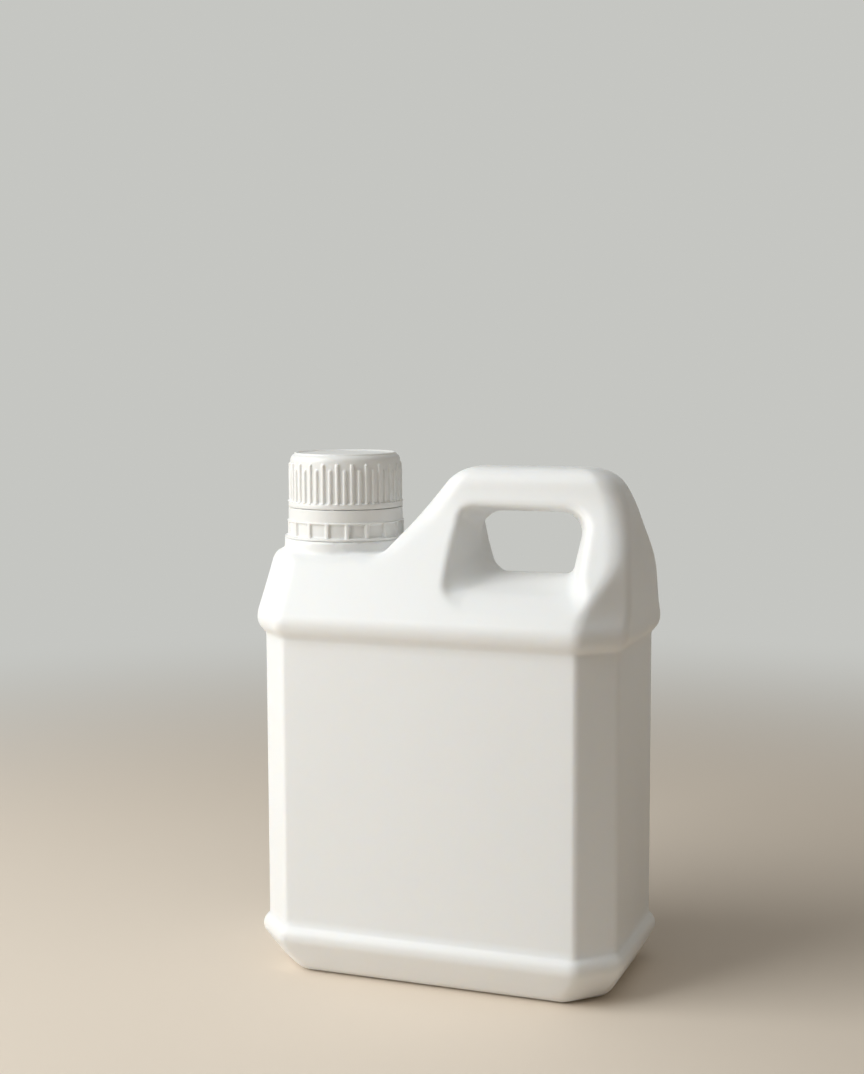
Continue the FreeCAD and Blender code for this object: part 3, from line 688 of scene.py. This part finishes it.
def cap_profile_points():
    """The cap's profile from the middle of its top to the middle of its roof.

    The dish rises to a low lip. Outside the lip a small step leads to the rounded edge, an arc of
    an ellipse. The wall has extra heights where the ribs run out.
    """
    bowl = [(radius, CAP_TOP - DISH_DEPTH) for radius in (0.0, 5.0, 10.0, 14.0, 15.9)]
    bowl += [(16.5, CAP_TOP - 0.42), (16.8, CAP_TOP - 0.22), (17.05, CAP_TOP - 0.05),
             (17.3, CAP_TOP), (17.6, CAP_TOP - 0.01), (17.8, CAP_TOP - 0.1)]
    edge = [(17.9, 178.62)]
    edge += [(CAP_RADIUS - EDGE_WIDTH * (1 - math.sin(turn)),
              EDGE_BOTTOM + EDGE_DROP * math.cos(turn))
             for turn in np.radians(np.arange(20, 90, 10))]
    rib_ends = [top - down for top in (LONG_RIB_TOP, SHORT_RIB_TOP)
                for down in (0.0, 0.2, 0.4, 0.6, 0.8)]
    between = [176.2, 174.9, 174.4, 172.8, 170.0, 167.0, 164.0, 162.6, 162.3]
    wall = [(CAP_RADIUS, height) for height in sorted(rib_ends + between, reverse=True)]
    flange = [(19.5, 162.1), (19.85, 162.0), (20.02, 161.85), (20.1, 161.6), (20.1, 160.3),
              (20.05, 160.15), (19.9, CAP_BOTTOM), (18.3, CAP_BOTTOM), (18.15, 160.2)]
    bore = [(CAP_BORE, height) for height in np.arange(160.6, CAP_ROOF - 0.2, 0.4)]
    roof = [(18.0, CAP_ROOF - 0.1), (17.6, CAP_ROOF), (12.0, CAP_ROOF), (6.0, CAP_ROOF),
            (0.0, CAP_ROOF)]
    return np.array(bowl + edge + wall + flange + bore + roof)


def rib_angles():
    """Turns round the cap, close together on every rib and further apart between them."""
    marks = np.radians([-2.1, -1.75, -1.4, -1.05, -0.6, 0.0, 0.6, 1.05, 1.4, 1.75, 2.1, 2.9, 3.75,
                        4.6])
    rib = np.arange(2 * RIB_COUNT)[:, None] * math.pi / RIB_COUNT
    return (rib + marks[None, :]).ravel()[:, None]


def turned_open(profile, angle, relief):
    """Points and quads of an open profile that starts and ends on the axis."""
    points = carried_round(profile, angle, relief)
    rows = len(profile)
    first = np.arange(len(angle))[:, None] * rows + np.arange(rows - 1)[None, :]
    beside = np.roll(first, -1, axis=0)
    quads = np.stack([first, first + 1, beside + 1, beside], axis=2)
    return points.reshape(-1, 3), quads.reshape(-1, 4)


def weld(piece, distance=0.002):
    """Joins points that lie on each other, such as all those at a pole, given in millimetres."""
    work = bmesh.new()
    work.from_mesh(piece.data)
    bmesh.ops.remove_doubles(work, verts=work.verts, dist=distance * MM)
    work.to_mesh(piece.data)
    work.free()
    print("%-14s welded to %d points" % (piece.name, len(piece.data.vertices)))


cap_points, cap_quads = turned_open(cap_profile_points(), rib_angles(), cap_relief)
screw_cap = make_piece("screw_cap", cap_points, cap_quads, "cap", "cap")
weld(screw_cap)

# %% [markdown]
# ## Plastic
#
# Polyethylene is white, a little waxy, and never quite even: the blown wall waves by hundredths of
# a millimetre over a few centimetres, the mould's blasted surface leaves a fine grain, and a thin
# raised line runs round the can where the halves of the mould met. One node group gives all of it
# as colour, roughness and height, and each plastic uses it with its own numbers.

# %% Node group for moulded plastic


def link(tree, start, end):
    """Joins an output socket to an input socket."""
    tree.links.new(start, end)


def math_node(tree, operation, first, second=None):
    """A Math node whose inputs are sockets or numbers, and its output socket."""
    node = tree.nodes.new("ShaderNodeMath")
    node.operation = operation
    for socket, given in zip(node.inputs, (first, second)):
        if given is None:
            continue
        if isinstance(given, (int, float)):
            socket.default_value = given
        else:
            link(tree, given, socket)
    return node.outputs[0]


def noise_node(tree, vector, scale, detail):
    """A Noise node on given coordinates, and its factor socket."""
    node = tree.nodes.new("ShaderNodeTexNoise")
    node.inputs["Detail"].default_value = detail
    link(tree, vector, node.inputs["Vector"])
    if isinstance(scale, (int, float)):
        node.inputs["Scale"].default_value = scale
    else:
        link(tree, scale, node.inputs["Scale"])
    return node.outputs["Fac"]


def moulded_plastic_group():
    """The node group: coordinates and amounts in, colour, roughness and height out."""
    tree = bpy.data.node_groups.new("moulded plastic", "ShaderNodeTree")
    for name, kind, number in (("Vector", "NodeSocketVector", None),
                               ("Color", "NodeSocketColor", None),
                               ("Cloud Color", "NodeSocketColor", None),
                               ("Roughness", "NodeSocketFloat", 0.4),
                               ("Grain Scale", "NodeSocketFloat", 900.0),
                               ("Grain Depth", "NodeSocketFloat", 0.2),
                               ("Wave Depth", "NodeSocketFloat", 1.0),
                               ("Seam Depth", "NodeSocketFloat", 0.0)):
        socket = tree.interface.new_socket(name, in_out="INPUT", socket_type=kind)
        if number is not None:
            socket.default_value = number
    tree.interface.new_socket("Color", in_out="OUTPUT", socket_type="NodeSocketColor")
    tree.interface.new_socket("Roughness", in_out="OUTPUT", socket_type="NodeSocketFloat")
    tree.interface.new_socket("Height", in_out="OUTPUT", socket_type="NodeSocketFloat")
    given = tree.nodes.new("NodeGroupInput")
    result = tree.nodes.new("NodeGroupOutput")
    vector = given.outputs["Vector"]

    clouds = noise_node(tree, vector, 14.0, 3.0)
    cloud_amount = math_node(tree, "MULTIPLY", clouds, 0.5)
    mix = tree.nodes.new("ShaderNodeMix")
    mix.data_type = "RGBA"
    link(tree, cloud_amount, mix.inputs[0])
    link(tree, given.outputs["Color"], mix.inputs[6])
    link(tree, given.outputs["Cloud Color"], mix.inputs[7])
    link(tree, mix.outputs[2], result.inputs["Color"])

    patches = noise_node(tree, vector, 60.0, 4.0)
    spread = math_node(tree, "MULTIPLY", math_node(tree, "SUBTRACT", patches, 0.5), 0.12)
    link(tree, math_node(tree, "ADD", given.outputs["Roughness"], spread),
         result.inputs["Roughness"])

    grain = math_node(tree, "MULTIPLY",
                      noise_node(tree, vector, given.outputs["Grain Scale"], 2.0),
                      given.outputs["Grain Depth"])
    wave = math_node(tree, "MULTIPLY", noise_node(tree, vector, 38.0, 1.0),
                     given.outputs["Wave Depth"])
    split = tree.nodes.new("ShaderNodeSeparateXYZ")
    link(tree, vector, split.inputs[0])
    beside = math_node(tree, "DIVIDE", math_node(tree, "ABSOLUTE", split.outputs[1]), 0.00035)
    line = math_node(tree, "MAXIMUM", math_node(tree, "SUBTRACT", 1.0, beside), 0.0)
    seam = math_node(tree, "MULTIPLY", line, given.outputs["Seam Depth"])
    link(tree, math_node(tree, "ADD", math_node(tree, "ADD", grain, wave), seam),
         result.inputs["Height"])
    return tree


def seen_directly(tree):
    """A socket that is 1 for camera, glossy and transmission rays, and 0 for all others."""
    ray = tree.nodes.new("ShaderNodeLightPath")
    return math_node(tree, "MAXIMUM", ray.outputs["Is Camera Ray"],
                     math_node(tree, "MAXIMUM", ray.outputs["Is Glossy Ray"],
                               ray.outputs["Is Transmission Ray"]))


moulded = moulded_plastic_group()
print("node group:", moulded.name)

# %% [markdown]
# The shader itself stays in the material. A little light passes through the skin of the plastic
# before it comes out again, which softens the shading: the subsurface weight stands for that.

# %% Materials


def plastic(name, color, cloud_color, roughness, softness, grain, wave, seam=0.0):
    """A material of moulded plastic from the node group and a Principled shader."""
    material = bpy.data.materials.new(name)
    material.use_nodes = True
    tree = material.node_tree
    shader = tree.nodes["Principled BSDF"]
    coordinates = tree.nodes.new("ShaderNodeTexCoord")
    group = tree.nodes.new("ShaderNodeGroup")
    group.node_tree = moulded
    link(tree, coordinates.outputs["Object"], group.inputs["Vector"])
    group.inputs["Color"].default_value = (*color, 1)
    group.inputs["Cloud Color"].default_value = (*cloud_color, 1)
    group.inputs["Roughness"].default_value = roughness
    group.inputs["Grain Depth"].default_value = grain
    group.inputs["Wave Depth"].default_value = wave
    group.inputs["Seam Depth"].default_value = seam
    bump = tree.nodes.new("ShaderNodeBump")
    bump.inputs["Strength"].default_value = 1.0
    bump.inputs["Distance"].default_value = 0.0001
    link(tree, group.outputs["Height"], bump.inputs["Height"])
    link(tree, group.outputs["Color"], shader.inputs["Base Color"])
    link(tree, group.outputs["Roughness"], shader.inputs["Roughness"])
    link(tree, bump.outputs["Normal"], shader.inputs["Normal"])
    shader.inputs["IOR"].default_value = 1.5
    shader.inputs["Subsurface Weight"].default_value = softness
    shader.inputs["Subsurface Radius"].default_value = (1.0, 0.85, 0.7)
    shader.inputs["Subsurface Scale"].default_value = 0.002
    return material


bottle_plastic = plastic(
    "blown polyethylene", color=(0.945, 0.942, 0.93), cloud_color=(0.93, 0.927, 0.916),
    roughness=0.42, softness=0.50, grain=0.10, wave=0.9, seam=0.8)
cap_plastic = plastic(
    "moulded cap plastic", color=(0.87, 0.87, 0.86), cloud_color=(0.85, 0.85, 0.84),
    roughness=0.32, softness=0.25, grain=0.05, wave=0.3)
liner_foam = plastic(
    "liner foam", color=(0.82, 0.81, 0.77), cloud_color=(0.74, 0.73, 0.70),
    roughness=0.75, softness=0.10, grain=1.4, wave=0.2)

for piece, material in ((can_wall, bottle_plastic), (screw_neck, bottle_plastic),
                        (tamper_ring, cap_plastic), (screw_cap, cap_plastic)):
    piece.data.materials.append(material)
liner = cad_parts["cap_liner"]
liner.data.materials.clear()
liner.data.materials.append(liner_foam)
print("materials:", ", ".join(material.name for material in bpy.data.materials))

# %% [markdown]
# ## Floor, light and camera
#
# The can stands on a plain pale floor. One large soft lamp shines from the front left and above,
# like a window, a weaker one from the ceiling, and a weak warm one from the right. The even light
# of the world fills the shaded sides. Further out the floor fades into a plain pale grey, which is
# also what the camera and the plastic's gloss see behind it. Lengths here are in metres.

# %% Floor
BACKDROP = (0.56, 0.565, 0.54, 1)
FLOOR_RADIUS, FLOOR_FADE_START, FLOOR_FADE_END = 6.0, 0.22, 0.75

floor_mesh = bpy.data.meshes.new("floor")
floor_angle = np.linspace(0, 2 * math.pi, 96, endpoint=False)
floor_rim = np.stack([FLOOR_RADIUS * np.cos(floor_angle), FLOOR_RADIUS * np.sin(floor_angle),
                      0 * floor_angle], axis=1)
floor_mesh.from_pydata(floor_rim.tolist(), [], [list(range(len(floor_rim)))])
floor = bpy.data.objects.new("floor", floor_mesh)
bpy.context.collection.objects.link(floor)
floor_paint = bpy.data.materials.new("pale floor")
floor_paint.use_nodes = True
floor_shader = floor_paint.node_tree.nodes["Principled BSDF"]
floor_shader.inputs["Base Color"].default_value = (0.80, 0.71, 0.61, 1)
floor_shader.inputs["Roughness"].default_value = 0.8
floor_tree = floor_paint.node_tree
floor_place = floor_tree.nodes.new("ShaderNodeTexCoord")
floor_reach = floor_tree.nodes.new("ShaderNodeVectorMath")
floor_reach.operation = "LENGTH"
link(floor_tree, floor_place.outputs["Object"], floor_reach.inputs[0])
fade_out = floor_tree.nodes.new("ShaderNodeMapRange")
fade_out.interpolation_type = "SMOOTHSTEP"
fade_out.inputs["From Min"].default_value = FLOOR_FADE_START
fade_out.inputs["From Max"].default_value = FLOOR_FADE_END
link(floor_tree, floor_reach.outputs["Value"], fade_out.inputs["Value"])
far_floor = floor_tree.nodes.new("ShaderNodeEmission")
far_floor.inputs["Color"].default_value = BACKDROP
floor_mix = floor_tree.nodes.new("ShaderNodeMixShader")
far_and_seen = math_node(floor_tree, "MULTIPLY", fade_out.outputs[0], seen_directly(floor_tree))
link(floor_tree, far_and_seen, floor_mix.inputs[0])
link(floor_tree, floor_shader.outputs[0], floor_mix.inputs[1])
link(floor_tree, far_floor.outputs[0], floor_mix.inputs[2])
link(floor_tree, floor_mix.outputs[0], floor_tree.nodes["Material Output"].inputs["Surface"])
floor_mesh.materials.append(floor_paint)

# %% Light
CAN_MIDDLE = Vector((0, 0, 0.09))
DAYLIGHT, WARM_LIGHT = (0.985, 1.0, 0.985), (1.0, 0.88, 0.70)


def soft_lamp(name, toward, distance, width, power, color):
    """A square lamp that shines at the middle of the can; toward points from the can to it."""
    lamp = bpy.data.lights.new(name, "AREA")
    lamp.shape = "SQUARE"
    lamp.size = width
    lamp.energy = power
    lamp.color = color
    holder = bpy.data.objects.new(name, lamp)
    bpy.context.collection.objects.link(holder)
    direction = Vector(toward).normalized()
    holder.location = CAN_MIDDLE + direction * distance
    holder.rotation_euler = direction.to_track_quat("Z", "Y").to_euler()


soft_lamp("window light", toward=(-0.67, -0.54, 0.50), distance=0.95, width=0.8, power=9.5,
          color=DAYLIGHT)
soft_lamp("ceiling light", toward=(0.05, -0.12, 1.0), distance=1.1, width=1.3, power=3.6,
          color=DAYLIGHT)
soft_lamp("room light", toward=(1.0, 0.1, 0.35), distance=1.2, width=1.0, power=0.92,
          color=WARM_LIGHT)

world = bpy.data.worlds.new("room")
bpy.context.scene.world = world
world.use_nodes = True
world_tree = world.node_tree
world_tree.nodes.clear()
room_light = world_tree.nodes.new("ShaderNodeBackground")
room_light.inputs["Color"].default_value = (1.0, 0.86, 0.68, 1)
room_light.inputs["Strength"].default_value = 0.05
room_view = world_tree.nodes.new("ShaderNodeBackground")
room_view.inputs["Color"].default_value = BACKDROP
room_view.inputs["Strength"].default_value = 1.0
choose = world_tree.nodes.new("ShaderNodeMixShader")
link(world_tree, seen_directly(world_tree), choose.inputs[0])
link(world_tree, room_light.outputs[0], choose.inputs[1])
link(world_tree, room_view.outputs[0], choose.inputs[2])
world_output = world_tree.nodes.new("ShaderNodeOutputWorld")
link(world_tree, choose.outputs[0], world_output.inputs["Surface"])
bpy.context.scene.view_settings.view_transform = "Standard"

# %% Camera
camera = bpy.data.cameras.new("camera")
camera.lens = 57.35
camera.sensor_width = 36.0
camera_holder = bpy.data.objects.new("camera", camera)
bpy.context.collection.objects.link(camera_holder)
camera_holder.location = (0.19731, -0.55321, 0.21072)
camera_holder.rotation_euler = [math.radians(turn) for turn in (84.117, 0.227, 20.494)]
bpy.context.scene.camera = camera_holder
